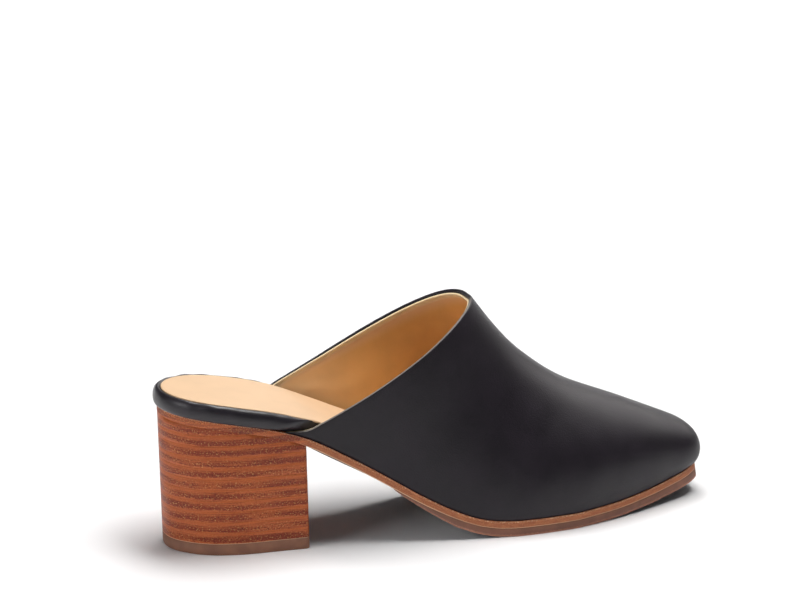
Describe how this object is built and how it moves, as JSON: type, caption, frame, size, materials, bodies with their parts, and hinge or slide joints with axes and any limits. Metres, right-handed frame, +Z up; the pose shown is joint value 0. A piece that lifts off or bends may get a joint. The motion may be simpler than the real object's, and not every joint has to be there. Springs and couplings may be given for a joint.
{
  "type": "mule",
  "caption": "Backless leather mule for the right foot, with a closed soft-squared toe, a tan lined upper and a stacked leather block heel.",
  "frame": {"origin": "middle of the shoe's box, on the floor that it stands on", "axes": "+X towards the toe, +Y towards the inner side of the foot, +Z up"},
  "size_m": [0.2482, 0.0786, 0.0986],
  "materials": {
    "black_leather": "smooth calf, soft satin",
    "tan_leather": "smooth unfinished lining leather",
    "sole_leather": "stained and waxed sole edge",
    "stacked_leather": "stained, waxed stack of layers",
    "forefoot_rubber": "matt brown rubber",
    "top_piece_rubber": "matt brown rubber"
  },
  "bodies": {
    "root": {"upper": "black_leather", "sock": "tan_leather", "footbed": "black_leather", "outsole": "sole_leather", "forefoot_sole": "forefoot_rubber", "heel_lift_01": "stacked_leather", "heel_lift_02": "stacked_leather", "heel_lift_03": "stacked_leather", "heel_lift_04": "stacked_leather", "heel_lift_05": "stacked_leather", "heel_lift_06": "stacked_leather", "heel_lift_07": "stacked_leather", "heel_lift_08": "stacked_leather", "heel_lift_09": "stacked_leather", "heel_lift_10": "stacked_leather", "heel_lift_11": "stacked_leather", "top_piece": "top_piece_rubber"}
  },
  "joints": []
}
